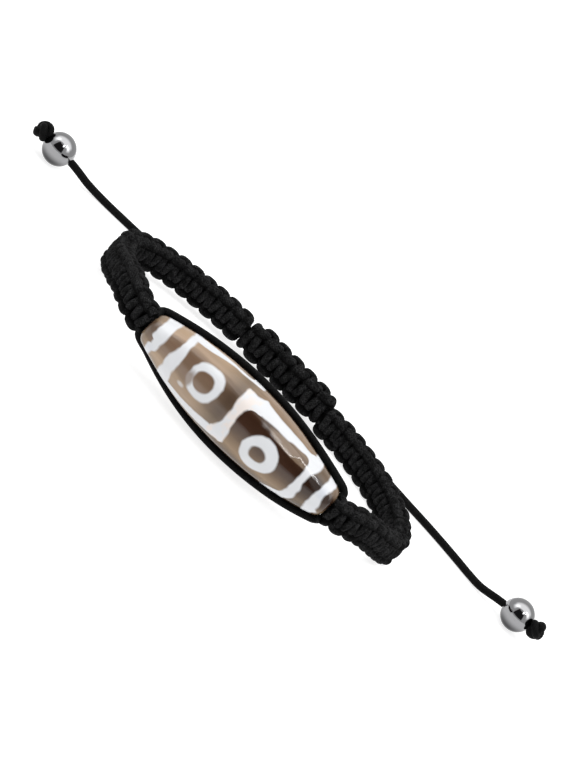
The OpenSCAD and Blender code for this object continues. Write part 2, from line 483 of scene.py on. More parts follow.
# The stone's colour up its face, left and right: height, red, green and blue. It is partly the stone's own
# banding and partly painted light, lighter towards the top and bottom and darkest across the middle where
# the dark opening is reflected
LEFT_STONE_AND_LIGHT = (
    (-9.3, 0.10, 0.07, 0.045), (-7.5, 0.16, 0.115, 0.075), (-6.0, 0.25, 0.18, 0.12),
    (-4.6, 0.29, 0.21, 0.145), (-3.7, 0.28, 0.2, 0.13), (-2.9, 0.19, 0.13, 0.085),
    (-1.9, 0.165, 0.11, 0.076), (-0.5, 0.14, 0.092, 0.062), (0.9, 0.12, 0.075, 0.05),
    (1.9, 0.13, 0.082, 0.052), (2.8, 0.17, 0.108, 0.066), (3.8, 0.25, 0.17, 0.107),
    (7.0, 0.28, 0.2, 0.13), (9.3, 0.15, 0.1, 0.07),
)
RIGHT_STONE_AND_LIGHT = (
    (-9.3, 0.07, 0.045, 0.025), (-7.2, 0.1, 0.062, 0.036), (-6.2, 0.15, 0.1, 0.058),
    (-5.0, 0.26, 0.18, 0.108), (-4.0, 0.21, 0.14, 0.083), (-3.0, 0.13, 0.082, 0.05),
    (-2.0, 0.08, 0.047, 0.03), (-0.5, 0.042, 0.02, 0.012), (1.2, 0.03, 0.013, 0.007),
    (1.9, 0.04, 0.019, 0.01), (2.9, 0.075, 0.042, 0.025), (4.0, 0.17, 0.11, 0.065),
    (6.8, 0.25, 0.17, 0.11), (9.3, 0.12, 0.08, 0.05),
)
# How light the stone is along the bead
STONE_GAIN = (
    (-20, 0.6), (-18.8, 0.85), (-15.5, 1.3), (-11, 1.2), (-7.5, 1.2), (-4.5, 0.85), (-2.5, 0.6),
    (-0.5, 0.85), (1, 1), (8, 1), (12, 0.9), (15.9, 0.55), (19, 0.7), (20, 0.7),
)


@dataclass(frozen=True)
class AgateFinish(Finish):
    """Etched agate: brown banded stone with white lines and two eyes, with painted light and a painted
    reflection in the stone's colour.

    Lengths are mm on the unrolled face. The face's middle is turned up by the tilt, in degrees,
    and the lines' own middle is raised above it.
    """

    centre: tuple
    name: str = "etched_agate"
    tilt: float = 21.65
    face_r: float = 5.9
    edge: float = 0.25
    wobble: float = 0.6
    drift: float = 0.4
    raised: float = 0.2
    sway: float = 2.2
    streaks: float = 1.6
    clouds: float = 0.8
    relief: float = 0.16
    paint: tuple = (0.64, 0.65, 0.67, 1)
    peach: tuple = (0.74, 0.64, 0.57, 1)
    smudge: tuple = (0.5, 0.53, 0.6, 1)
    pale: tuple = (0.22, 0.155, 0.105, 1)

    def sockets(self, tree: Tree) -> dict:
        """Builds the nodes.

        Args:
            tree: the material's tree

        Returns:
            The surface's values and links.
        """
        x, y, z = tree.parts(tree.place())
        along = x / MM - self.centre[0]
        back = y / MM - self.centre[1]
        high = z / MM - self.centre[2]
        # The face is unrolled from its middle line, and the back mirrors it
        tilt = math.radians(self.tilt)
        facing = high * math.sin(tilt) - back * math.cos(tilt)
        rise = high * math.cos(tilt) + back * math.sin(tilt)
        up = (rise / (rise * rise + facing * facing + 0.01).root()).arc() * self.face_r
        spot = tree.vector(along, rise, facing)
        wobble = tree.noise(spot, 0.6, 1.0, 0.5) - 0.5
        drift = tree.noise(tree.vector(along + 40.0, facing, rise), 0.45, 2.0, 0.5) - 0.5
        u = along + wobble * self.wobble
        v = up + drift * self.drift - self.raised
        white = self._figure(tree, u, v)
        stone = self._stone(tree, along, up, spot)
        return {
            "Base Color": tree.mix(white, stone, self._paint(tree, u, v, spot)),
            "Roughness": 0.07 + white * 0.06,
            "IOR": 1.46,
            "Normal": tree.bump(tree.noise(spot, 0.32, 1.0, 0.4), self.relief * MM, 0.7),
        }

    def _between(self, value: Value, low: Number, high: Number) -> Value:
        """1 where value lies between low and high, with soft edges."""
        rising = (value - low).step(-self.edge, self.edge)
        return rising * (value - high).step(self.edge, -self.edge)

    @staticmethod
    def _oval(u: Value, v: Value, centre: tuple, size: tuple, squareness: float = 2.0) -> Value:
        """How far outside an oval a place is.

        Args:
            u: along the bead
            v: up its face
            centre: the oval's middle
            size: its half length and half height
            squareness: 2 for an ellipse, more for a squarer shape

        Returns:
            Signed distance, in about mm.
        """
        du = ((u - centre[0]) / size[0]).absolute().power(squareness)
        dv = ((v - centre[1]) / size[1]).absolute().power(squareness)
        return ((du + dv).power(1 / squareness) - 1.0) * min(size)

    def _patch(self, u: Value, v: Value, patch: Patch) -> Value:
        """1 inside a patch, with its soft edge."""
        return self._oval(u, v, patch.centre, patch.size).step(patch.fades, patch.full)

    def _figure(self, tree: Tree, u: Value, v: Value) -> Value:
        """The white etched lines and eyes.

        Args:
            tree: the material's tree
            u: along the bead
            v: up its face

        Returns:
            1 on a line and 0 off it.
        """
        parts = []
        for line in ETCHED_LINES:
            across, run = (u, v) if line.upright else (v, u)
            part = self._between(across, tree.curve(run, line.low), tree.curve(run, line.high))
            parts.append(part * self._between(run, *line.ends) if line.ends else part)
        for eye in EYES:
            outside = self._oval(u, v, eye.centre, eye.size, eye.squareness)
            inside = self._oval(u, v, eye.hole, eye.hole_size)
            parts.append(outside.step(self.edge, -self.edge) * inside.step(-self.edge, self.edge))
        white = reduce(Value.most, parts)
        kept = 1.0 - self._patch(u, v, WORN) * 0.8
        return (white * kept).most(self._patch(u, v, FLECK) * 0.6)

    def _paint(self, tree: Tree, u: Value, v: Value, spot: Link) -> Link:
        """The lines' own colour: chalky white with peach and grey tints.

        Args:
            tree: the material's tree
            u: along the bead
            v: up its face
            spot: the place on the bead, in mm

        Returns:
            Its colour.
        """
        cloud = tree.noise(spot, 0.6, 2.0, 0.5)
        stem = self._between(u, *STEM[0]) * self._between(v, *STEM[1])
        tinted = tree.mix(cloud.step(0.42, 0.58) * stem * 0.6, self.paint, self.peach)
        grey = self._patch(u, v, GREY_SPOT) * 0.6 + self._patch(u, v, GREY_FOOT) * 0.3
        return tree.mix(grey, tinted, self.smudge)

    def _stone(self, tree: Tree, along: Value, up: Value, spot: Link) -> Link:
        """The brown ground, partly its own banding and partly painted light and a painted reflection.

        Args:
            tree: the material's tree
            along: along the bead
            up: up its face
            spot: the place on the bead, in mm

        Returns:
            Its colour.
        """
        sway = tree.noise(tree.vector(along, 0.0, 0.0), 0.14, 2.0, 0.5) - 0.5
        streak = tree.noise(tree.vector(along * 0.1, up + sway * 1.5, 0.0), 0.7, 3.0, 0.6) - 0.5
        cloud = tree.noise(spot, 0.3, 3.0, 0.6) - 0.5
        level = up + sway * self.sway + streak * self.streaks + cloud * self.clouds
        share = (level + FACE_EDGE) / (2 * FACE_EDGE)
        # Painted light: up the face the stone is lighter towards the top and bottom and darkest across the
        # middle
        sides = [
            tree.ramp(
                share,
                [((high + FACE_EDGE) / (2 * FACE_EDGE), (*colour, 1)) for high, *colour in stone],
            )
            for stone in (LEFT_STONE_AND_LIGHT, RIGHT_STONE_AND_LIGHT)
        ]
        both = tree.mix(along.step(-1.5, 0.5), *sides)
        # The paler lens above the right eye is partly a painted reflection of soft light
        both = tree.mix(self._patch(along, up + streak * 0.5, PALE_LENS_AND_SHEEN) * 0.8, both, self.pale)
        gain = tree.curve(along, STONE_GAIN) * (1.0 + streak * 0.5)
        light = tree.add("ShaderNodeCombineColor", {0: gain, 1: gain, 2: gain}).outputs[0]
        sockets = {0: 1.0, 6: both, 7: light}
        made = tree.add("ShaderNodeMix", sockets, data_type="RGBA", blend_type="MULTIPLY")
        return made.outputs[2]


@dataclass(frozen=True)
class FloorFinish(Finish):
    """Plain pale paper, lit a little from below as on a light table."""

    name: str = "pale_paper"
    colour: tuple = (0.4, 0.4, 0.4, 1.0)
    grain: tuple = (0.36, 0.36, 0.36, 1.0)
    glow: float = 0.8

    def sockets(self, tree: Tree) -> dict:
        """Builds the nodes.

        Args:
            tree: the material's tree

        Returns:
            The surface's values and links.
        """
        grain = tree.noise(tree.place(), 300.0, 2.0, 0.5)
        return {
            "Base Color": tree.mix(grain * 0.1, self.colour, self.grain),
            "Roughness": 0.9,
            "Specular IOR Level": 0.0,
            "Emission Color": (1.0, 1.0, 1.0, 1.0),
            "Emission Strength": self.glow,
        }


class Slot(Enum):
    """The record's material slots."""

    AGATE = "agate"
    KNOTTED = "knotted_cord"
    SMOOTH = "smooth_cord"
    STEEL = "steel"


Finishes = dict[Slot, bpy.types.Material]


# Mesh helpers


def unit(vectors: Points) -> Points:
    """Each vector with a length of 1."""
    return vectors / np.linalg.norm(vectors, axis=-1, keepdims=True)


def spline(points: Points, steps: int) -> Points:
    """Smooth line through points.

    Args:
        points: the points, as rows of any width
        steps: steps between two points

    Returns:
        The points of the line.
    """
    padded = np.vstack([2 * points[0] - points[1], points, 2 * points[-1] - points[-2]])
    t = (np.arange(steps) / steps)[:, None]
    out = []
    for a, b, c, d in zip(padded, padded[1:], padded[2:], padded[3:]):
        out.append(
            0.5 * (2 * b + (c - a) * t + (2 * a - 5 * b + 4 * c - d) * t**2
                   + (3 * b - a - 3 * c + d) * t**3)
        )
    return np.vstack([*out, points[-1:]])


def runs_along(points: Points) -> Points:
    """Distance along a line at each of its points."""
    return np.concatenate([[0.0], np.cumsum(np.linalg.norm(np.diff(points, axis=0), axis=1))])


def turns(count: int) -> Points:
    """Angles that go once round in even steps."""
    return FULL_TURN * np.arange(count) / count


@dataclass
class Shape:
    """Mesh parts that are gathered into one piece, which replaces a node."""

    name: str
    node: str
    slot: Slot
    places: list = field(default_factory=list)
    faces: list = field(default_factory=list)
    runs: list = field(default_factory=list)
    count: int = 0

    def tube(self, line: Points, radius: Union[float, Points], sides: int,
             closed: bool = False, outward: Optional[Points] = None) -> None:
        """Adds a round tube along a line.

        Args:
            line: its middle line
            radius: one radius, or one for each point
            sides: points round it
            closed: joins its end to its start
            outward: the direction, at each point, of the tube's crown
        """
        n = len(line)
        if closed:
            along = unit(np.roll(line, -1, 0) - np.roll(line, 1, 0))
        else:
            along = unit(np.gradient(line, axis=0))
        side = np.empty_like(line)
        first = np.cross(along[0], UP if abs(along[0][2]) < 0.9 else np.array([1.0, 0, 0]))
        side[0] = first / np.linalg.norm(first)
        for i in range(1, n):
            side[i] = self._carried(line[i - 1], line[i], along[i - 1], along[i], side[i - 1])
        other = np.cross(along, side)
        start = np.zeros(n)
        if outward is not None:
            start = np.unwrap(np.arctan2((outward * other).sum(1), (outward * side).sum(1)))
        elif closed:
            last = self._carried(line[-1], line[0], along[-1], along[0], side[-1])
            twist = math.atan2(
                float(np.dot(np.cross(last, side[0]), along[0])), float(np.dot(last, side[0]))
            )
            start = twist * np.arange(n) / n
        turn = turns(sides)[None, :] + start[:, None]
        r = np.broadcast_to(np.asarray(radius, float), (n,))[:, None, None]
        rings = line[:, None, :] + r * (
            np.cos(turn)[..., None] * side[:, None, :] + np.sin(turn)[..., None] * other[:, None, :]
        )
        self.rings(rings, runs_along(line), closed)

    @staticmethod
    def _carried(a: Points, b: Points, way_a: Points, way_b: Points, side: Points) -> Points:
        """Side direction carried from one point of a line to the next without twist.

        Args:
            a: the first point
            b: the next point
            way_a: the line's direction at a
            way_b: its direction at b
            side: the side direction at a

        Returns:
            The side direction at b.
        """
        step = b - a
        c = float(step @ step) or 1e-12
        side_l = side - (2 / c) * (step @ side) * step
        way_l = way_a - (2 / c) * (step @ way_a) * step
        turn = way_b - way_l
        d = float(turn @ turn)
        if d < 1e-12:
            return side_l
        return side_l - (2 / d) * (turn @ side_l) * turn

    def rings(self, rings: Points, run: Points, closed: bool = False) -> None:
        """Adds a skin over rings of points.

        Args:
            rings: rows of rings of points
            run: each ring's distance along, in mm
            closed: joins the last ring to the first, in place of closing both ends with a face
        """
        n, sides, _ = rings.shape
        start = self.count
        self.places.append(rings.reshape(-1, 3))
        self.count += n * sides
        last = n if closed else n - 1
        step = float(run[1] - run[0])
        for i in range(last):
            j = (i + 1) % n
            u0 = run[i] * MM
            u1 = (run[j] if j else run[-1] + step) * MM
            for k in range(sides):
                m = (k + 1) % sides
                self.faces.append(
                    (start + i * sides + k, start + i * sides + m,
                     start + j * sides + m, start + j * sides + k)
                )
                v0, v1 = k / sides, (k + 1) / sides
                self.runs.extend([(u0, v0), (u0, v1), (u1, v1), (u1, v0)])
        if not closed:
            self.faces.append(tuple(start + k for k in reversed(range(sides))))
            self.runs.extend([(run[0] * MM, k / sides) for k in reversed(range(sides))])
            top = start + (n - 1) * sides
            self.faces.append(tuple(top + k for k in range(sides)))
            self.runs.extend([(run[-1] * MM, k / sides) for k in range(sides)])

    def make(self, finishes: Finishes) -> bpy.types.Object:
        """Makes the piece, which rides on the one body.

        Args:
            finishes: the materials by slot

        Returns:
            The new object.
        """
        mesh = bpy.data.meshes.new(self.name)
        mesh.from_pydata((np.vstack(self.places) * MM).tolist(), [], self.faces)
        layer = mesh.uv_layers.new(name=RUN_MAP)
        layer.data.foreach_set("uv", np.asarray(self.runs, np.float32).ravel())
        mesh.shade_smooth()
        mesh.materials.append(finishes[self.slot])
        made = bpy.data.objects.new(self.name, mesh)
        bpy.context.scene.collection.objects.link(made)
        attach(made, ROOT)
        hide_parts(self.node)
        return made


# The bracelet


@dataclass(frozen=True)
class BeadLine:
    """The barrel's outline, as the solids have it, with the hand-cut stone's small rise."""

    length: float = 40.0
    diameter: float = 11.8
    end_d: float = 5.2
    edge_r: float = 1.5
    bore_d: float = 1.8
    y: float = -16.5
    z: float = 7.35
    end_rise: float = 0.24
    rise_start: float = 11.0
    rise_end: float = 19.0

    @property
    def centre(self) -> Points:
        """The bead's middle."""
        return np.array([0.0, self.y, self.z])

    def rise(self, x: Points) -> Points:
        """How far the stone rises above its axis towards the right end."""
        share = (x - self.rise_start) / (self.rise_end - self.rise_start)
        return self.end_rise * np.clip(share, 0, 1) ** 2

    @property
    def barrel_r(self) -> float:
        """Radius of the barrel's arc."""
        sag = (self.diameter - self.end_d) / 2
        return ((self.length / 2) ** 2 + sag**2) / (2 * sag)

    @property
    def edge_turn(self) -> float:
        """Angle of the barrel's arc where the edge arc takes over."""
        return math.asin((self.length / 2 - self.edge_r) / (self.barrel_r - self.edge_r))

    def outline(self, pad: float, barrel_steps: int, edge_steps: int, reach: float = 90.0) -> Points:
        """Outline from one end to the other.

        Args:
            pad: distance outside the bead
            barrel_steps: steps over the barrel
            edge_steps: steps over each edge arc
            reach: angle at which the edge arcs end, in degrees

        Returns:
            Rows of place along the bead and distance from its axis.
        """
        turn = self.edge_turn
        middle = self.diameter / 2 - self.barrel_r
        edge_x = self.length / 2 - self.edge_r
        edge_y = middle + (self.barrel_r - self.edge_r) * math.cos(turn)

        def arc(x: float, y: float, radius: float, angle: Points) -> Points:
            """Points of an arc round a centre, by their angles from straight up."""
            return np.stack([x + (radius + pad) * np.sin(angle), y + (radius + pad) * np.cos(angle)], 1)

        barrel = arc(0.0, middle, self.barrel_r, np.linspace(-turn, turn, barrel_steps + 1))
        angle = np.linspace(turn, math.radians(reach), edge_steps + 1)[1:]
        edge = arc(edge_x, edge_y, self.edge_r, angle)
        return np.vstack([edge[::-1] * [-1, 1], barrel, edge])


# The flats that hand polishing leaves: waves round the bead, lean and start of each, and share
FLATS = ((3, 0.22, 0.9, 0.6), (7, -0.31, 0.0, 0.25), (2, 0.45, 0.0, 0.4))


@dataclass
class Bead:
    """The drilled agate barrel bead."""

    line: BeadLine
    sides: int = 96
    flatness: float = 0.03
    hole_lip: float = 0.15

    def shape(self) -> Shape:
        """Turns the bead, with its hole and the slight flats of hand polishing.

        Returns:
            The piece's shape.
        """
        bore, half, lip = self.line.bore_d / 2, self.line.length / 2, self.hole_lip
        hole = [[half, bore + lip], [half - lip, bore], [-half + lip, bore], [-half, bore + lip]]
        profile = np.vstack([self.line.outline(0.0, barrel_steps=80, edge_steps=6), hole])
        angle = turns(self.sides)
        x = profile[:, 0][:, None]
        r = profile[:, 1][:, None]
        wave = sum(
            share * np.sin(waves * angle + lean * x + start) for waves, lean, start, share in FLATS
        )
        # The hole and its lip stay round
        outer = r > bore + lip + 0.1
        grown = r + outer * self.flatness * (wave - 1.0)
        rings = np.stack(
            [np.broadcast_to(x, grown.shape), -grown * np.sin(angle), grown * np.cos(angle)], 2
        )
        rings[..., 2] += self.line.rise(x)
        shape = Shape("polished_dzi_bead", "dzi_bead", Slot.AGATE)
        shape.rings(rings + self.line.centre, profile[:, 0], closed=True)
        return shape


@dataclass
class MiddleLine:
    """Middle line of a row of knots: its points, directions and distances along."""

    run: Points = field(init=False)
    line: Points = field(init=False)
    along: Points = field(init=False)

    @property
    def length(self) -> float:
        """Length of the row."""
        return float(self.run[-1])

    def at(self, rows: Points) -> Points:
        """Puts points beside the line.

        Args:
            rows: for each point its distance along, its height above the middle and its distance out

        Returns:
            The points' places.
        """
        s = rows[:, 0]
        centre = np.column_stack([np.interp(s, self.run, self.line[:, i]) for i in range(3)])
        along = unit(np.column_stack([np.interp(s, self.run, self.along[:, i]) for i in range(3)]))
        over = np.minimum(s, 0) + np.maximum(s - self.length, 0)
        out = unit(np.cross(along, UP))
        up = np.cross(out, along)
        return centre + over[:, None] * along + rows[:, 1:2] * up + rows[:, 2:3] * out


@dataclass
class BandLine(MiddleLine):
    """Middle line of a knotted band, from the bead to the slide, as the solids have it.

    The pulls are the lengths of the curve's handles, and the drop is where along it the band
    comes down from the bead's height to its end's. Near the bead it is lifted a little.
    """

    side: int
    reach: float
    fold: float
    pulls: tuple
    drop: tuple
    end_z: float
    bead: BeadLine
    lift: float = 0.0
    lift_run: float = 13.0
    start_x: float = 20.1
    end_x: float = 9.9
    end_shift: float = 0.8

    def __post_init__(self) -> None:
        """Works out the line."""
        a = np.array([self.side * self.start_x, self.bead.y])
        f = np.array([self.side * self.reach, self.bead.y + self.fold])
        b = np.array([self.side * self.end_x, SLIDE_Y - self.end_shift])
        before, into, after, home = self.pulls
        first = self._curve(a, a + [self.side * before, 0], f - [0, into], f)
        second = self._curve(f, f + [0, after], b + [self.side * home, 0], b)
        plan = np.vstack([first, second[1:]])
        self.run = runs_along(plan)
        k = np.clip((self.run - self.drop[0]) / (self.drop[1] - self.drop[0]), 0, 1)
        high = self.bead.z + (self.end_z - self.bead.z) * k * k * (3 - 2 * k)
        high += self.lift * np.sin(np.pi * np.clip(self.run / self.lift_run, 0, 1))
        self.line = np.column_stack([plan, high])
        self.along = unit(np.gradient(self.line, axis=0))

    @staticmethod
    def _curve(a: Points, b: Points, c: Points, d: Points, steps: int = 200) -> Points:
        """Points of a curve with two end points, a and d, and two handles, b and c."""
        k = np.linspace(0, 1, steps + 1)[:, None]
        return (1 - k) ** 3 * a + 3 * (1 - k) ** 2 * k * b + 3 * (1 - k) * k**2 * c + k**3 * d


@dataclass
class StraightLine(MiddleLine):
    """Middle line of the slide: straight, from left to right."""

    half: float
    z: float

    def __post_init__(self) -> None:
        """Works out the line."""
        self.run = np.linspace(0, 2 * self.half, 41)
        self.line = self.run[:, None] * [1.0, 0.0, 0.0] + [-self.half, SLIDE_Y, self.z]
        self.along = np.tile([1.0, 0.0, 0.0], (len(self.run), 1))


# One strand's way through half a square knot: distance along in knots, height and thickness in
# cord diameters, and share of the cord's radius. It runs along one edge, comes round it, crosses
# the face and dives through the other strand's loop at the far edge
HALF_KNOT = (
    (-0.47, -1.20, -0.54, 0.97), (-0.39, -1.53, -0.69, 1.09), (-0.13, -1.57, -0.73, 1.13),
    (0.13, -1.56, -0.48, 1.10), (0.18, -1.40, 0.06, 0.99), (0.12, -0.98, 0.58, 0.96),
    (0.04, -0.38, 0.84, 0.94), (-0.01, 0.32, 0.84, 0.94), (-0.05, 0.86, 0.62, 0.94),
    (-0.10, 1.12, 0.10, 0.94), (-0.12, 1.12, -0.38, 0.95),
)
# How a strand comes out of the core before its first crossing, and goes in after its last one
TUCK_OUT = ((-0.56, -0.30, 0.00, 0.9), (-0.54, -0.95, -0.15, 0.95), (-0.50, -1.25, -0.35, 1.0))
TUCK_IN = ((0.08, 1.46, -0.45, 1.0), (0.20, 1.36, -0.40, 1.0), (0.28, 0.9, -0.1, 0.95),
           (0.30, 0.30, 0.00, 0.9))
# How far out the strand's middle goes in HALF_KNOT, and its radius there, at edge and face
EDGE_REACH, EDGE_SHARE = 1.58, 1.15
FACE_REACH, FACE_SHARE = 0.84, 0.94
# How much a knot may stray along the row, up and out, in mm
STRAY = (0.06, 0.05, 0.05)


@dataclass
class Knots:
    """A row of square knots tied round a core, along a middle line.

    A wrap is one more turn of cord round the row's start, at wrap_at mm along it.
    """

    line: MiddleLine
    name: str
    node: str
    halves: int
    first: int
    start: float
    end_room: float
    seed: int
    width: float = 5.9
    thick: float = 3.6
    strand_r: float = 0.78
    core_r: float = 0.875
    core_over: float = 0.3
    tucked_start: bool = False
    wrap_at: float = 0.0
    wrap_high: float = 2.1
    wrap_deep: float = 1.15
    wrap_down: float = 0.15
    wrap_lean: float = 0.12

    @property
    def pitch(self) -> float:
        """Length of one square knot, which is two crossings."""
        return 2 * (self.line.length - self.start - self.end_room) / (self.halves - 1)

    def strand(self, turned: int, rng: np.random.RandomState) -> Points:
        """One of the two strands.

        Args:
            turned: 1 for the strand that crosses the outer face, -1 for the other one
            rng: gives each knot its own small unevenness

        Returns:
            Rows of distance along, height, distance out and radius.
        """
        wide = (self.width / 2 - self.strand_r * EDGE_SHARE) / EDGE_REACH
        deep = (self.thick / 2 - self.strand_r * FACE_SHARE) / FACE_REACH
        rows = []
        way = self.first
        for half in range(self.halves):
            s = self.start + self.pitch * half / 2
            nudge = rng.uniform(-1, 1, 3) * STRAY
            bends = HALF_KNOT
            if half == 0:
                bends = TUCK_OUT + bends if self.tucked_start else bends[2:]
            if half == self.halves - 1:
                bends = bends + TUCK_IN
            for run, high, out, share in bends:
                rows.append(
                    (
                        s + run * self.pitch + nudge[0],
                        turned * (way * high * wide) + nudge[1],
                        turned * (out * deep) + nudge[2] * turned,
                        share * self.strand_r,
                    )
                )
            way = -way
        return np.array(rows)

    def shape(self) -> Shape:
        """Ties the row of knots.

        Returns:
            The piece's shape.
        """
        rng = np.random.RandomState(self.seed)
        shape = Shape(self.name, self.node, Slot.KNOTTED)
        for turned in (1, -1):
            rows = spline(self.strand(turned, rng), 4)
            middle = self.line.at(rows * np.array([1.0, 0.0, 0.0, 1.0]))
            place = self.line.at(rows)
            shape.tube(place, rows[:, 3], 14, outward=place - middle)
        if self.wrap_at:
            a = turns(24)
            wrap = [
                self.wrap_at + self.wrap_lean * np.cos(a),
                self.wrap_high * np.cos(a) - self.wrap_down,
                self.wrap_deep * np.sin(a),
            ]
            place = self.line.at(np.column_stack(wrap))
            shape.tube(place, self.strand_r * 1.05, 12, closed=True, outward=place - place.mean(0))
        run = np.linspace(-self.core_over, self.line.length + self.core_over, 80)
        shape.tube(self.line.at(run[:, None] * [1.0, 0.0, 0.0]), self.core_r, 10)
        return shape

    def strand_start(self, turned: int) -> Points:
        """Where a strand begins, as one place in a row."""
        return self.line.at(self.strand(turned, np.random.RandomState(self.seed))[:1])


@dataclass
class SideCord:
    """Cord along the bead, from one band's first knot to the other's.

    Its turns are degrees from the bead's top towards the slide, at its left and at its right.
    """

    bead: BeadLine
    left_turn: float
    right_turn: float
    name: str
    node: str
    swing: tuple = (-18.0, 7.0)

    def shape(self, left: Points, right: Points) -> Shape:
        """Lays the cord.

        Args:
            left: where it goes into the left band
            right: where it goes into the right band

        Returns:
            The piece's shape.
        """
        x, r = self.bead.outline(CORD_R + GAP, barrel_steps=24, edge_steps=2, reach=52.0).T
        k = np.clip((x - self.swing[0]) / (self.swing[1] - self.swing[0]), 0, 1)
        angle = np.radians(self.right_turn + (self.left_turn - self.right_turn) * (1 - k) ** 2)
        high = r * np.cos(angle) + self.bead.rise(x)
        line = np.column_stack([x, r * np.sin(angle), high]) + self.bead.centre
        shape = Shape(self.name, self.node, Slot.SMOOTH)
        shape.tube(spline(np.vstack([left, line, right]), 5), CORD_R, 14)
        return shape


@dataclass
class CoreCord:
    """Cord through the bead's hole, a little past both its ends."""

    bead: BeadLine
    over: float = 0.5
    count: int = 60

    def shape(self) -> Shape:
        """Lays the cord.

        Returns:
            The piece's shape.
        """
        half = self.bead.length / 2 + self.over
        x = np.linspace(-half, half, self.count)
        line = np.column_stack([x, 0 * x, self.bead.rise(x)]) + self.bead.centre
        shape = Shape("core_in_bead", "bead_core_cord", Slot.SMOOTH)
        shape.tube(line, CORD_R, 12)
        return shape


# The short cut end of an end knot: across level, across upright, and along the tail
CUT_END = ((0, 0, -0.4), (0.1, -0.3, 0.3), (0.35, -0.75, 0.75), (0.5, -0.95, 1.05))


@dataclass
class LooseEnd:
    """A tail cord with its steel ball and end knot.

    The knot's line runs twice round a ring while it swings in and out three times.
    """

    name: str
    route: tuple
    knot_spin: float = 0.0
    ball_d: float = 6.0
    ball_bore_d: float = 1.5
    ball_lip: float = 0.12
    knot_lobe_d: float = 2.9
    knot_back: float = 0.2
    knot_ring: float = 0.80
    knot_swing: float = 0.42
    knot_depth: float = 0.72
    knot_strand: float = 0.68

    @property
    def points(self) -> Points:
        """The route."""
        return np.array(self.route, float)

    @property
    def way(self) -> Points:
        """Direction of the last straight run."""
        return unit(self.points[-1] - self.points[-2])

    @property
    def ball_centre(self) -> Points:
        """Where the last run is at the ball's height above the floor."""
        a, b = self.points[-2:]
        return a + (b - a) * (self.ball_d / 2 - a[2]) / (b[2] - a[2])

    def placed(self, centre: Points, across: Points, upright: Points, ahead: Points) -> Points:
        """Puts points in the frame of the last run.

        Args:
            centre: where the frame is
            across: the points' distances across, level
            upright: their distances across, upright
            ahead: their distances along the run

        Returns:
            The points' places.
        """
        level = unit(np.cross(UP, self.way))
        up = np.cross(self.way, level)
        parts = (across, level), (upright, up), (ahead, self.way)
        return centre + sum(share[..., None] * direction for share, direction in parts)

    def make(self, finishes: Finishes) -> list[bpy.types.Object]:
        """Makes the ball, the knot and the tail.

        Args:
            finishes: the materials by slot

        Returns:
            The three pieces.
        """
        on_it = [self.ball().make(finishes), self.knot().make(finishes)]
        line = spline(self.points, 6)
        shape = Shape(f"{self.name}_tail", f"{self.name}_tail_cord", Slot.SMOOTH)
        shape.tube(line, CORD_R, 14)
        made = shape.make(finishes)
        return [*on_it, made]

    def ball(self) -> Shape:
        """Turns the drilled ball.

        Returns:
            The piece's shape.
        """
        r, bore = self.ball_d / 2, self.ball_bore_d / 2
        limit = math.asin((bore + self.ball_lip) / r)
        angle = np.linspace(limit, math.pi - limit, 41)
        hole_end = r * math.cos(limit) - self.ball_lip
        hole = [[hole_end, bore], [0, bore], [-hole_end, bore]]
        profile = np.vstack([np.column_stack([-r * np.cos(angle), r * np.sin(angle)]), hole])
        turn = turns(64)
        ahead, out = profile[:, :1], profile[:, 1:]
        rings = self.placed(
            self.ball_centre, out * np.cos(turn), out * np.sin(turn), ahead + 0 * turn
        )
        shape = Shape(f"{self.name}_ball", f"{self.name}_end_ball", Slot.STEEL)
        shape.rings(rings, profile[:, 0], closed=True)
        return shape

    def knot(self) -> Shape:
        """Ties the end knot: a pulled overhand knot with a short cut end.

        Returns:
            The piece's shape.
        """
        centre = self.points[-1] + self.way * (self.knot_lobe_d / 2 + GAP)
        t = turns(96)
        turn = 2 * t + self.knot_spin
        reach = self.knot_ring + self.knot_swing * np.cos(3 * t)
        line = self.placed(
            centre, reach * np.cos(turn), reach * np.sin(turn),
            self.knot_depth * np.sin(3 * t) - self.knot_back,
        )
        shape = Shape(f"{self.name}_knot", f"{self.name}_end_knot", Slot.SMOOTH)
        shape.tube(line, self.knot_strand, 12, closed=True)
        line = spline(self.placed(centre, *np.array(CUT_END, float).T), 5)
        radius = np.full(len(line), CORD_R * 0.98)
        radius[-2:] = CORD_R * 0.9, CORD_R * 0.6
        shape.tube(line, radius, 12)
        return shape


# The tails' routes from the slide to the end knots, as the solids have them
LEFT_ROUTE = (
    (-9.8, 21.5, 2.7), (-11.6, 22, 2.7), (-14, 22.6, 2.4), (-17, 23.2, 1.8), (-20, 23.6, 1.2),
    (-23, 23.9, 0.8), (-26, 24, 0.7), (-30, 24, 0.7), (-34, 23.8, 0.7), (-38, 23.4, 0.7),
    (-41, 23.1, 0.7), (-44, 22.75, 0.8), (-47, 21.9, 1.25), (-50.4, 20.7, 2.2), (-56.75, 18.45, 3.57),
)
RIGHT_ROUTE = (
    (9.8, 21.5, 4.1), (11.6, 22, 3.9), (14, 22.6, 3.4), (17, 23.3, 2.6), (20, 24, 1.9),
    (23, 24.5, 1.4), (26, 24.9, 1), (29, 25, 0.8), (32, 24.9, 0.7), (36, 24.5, 0.7),
    (40, 23.9, 0.7), (44, 23.1, 0.7), (47, 22.3, 0.75), (50, 21.4, 1.05), (54, 20.7, 2.1),
    (60, 18.7, 3.7),
)


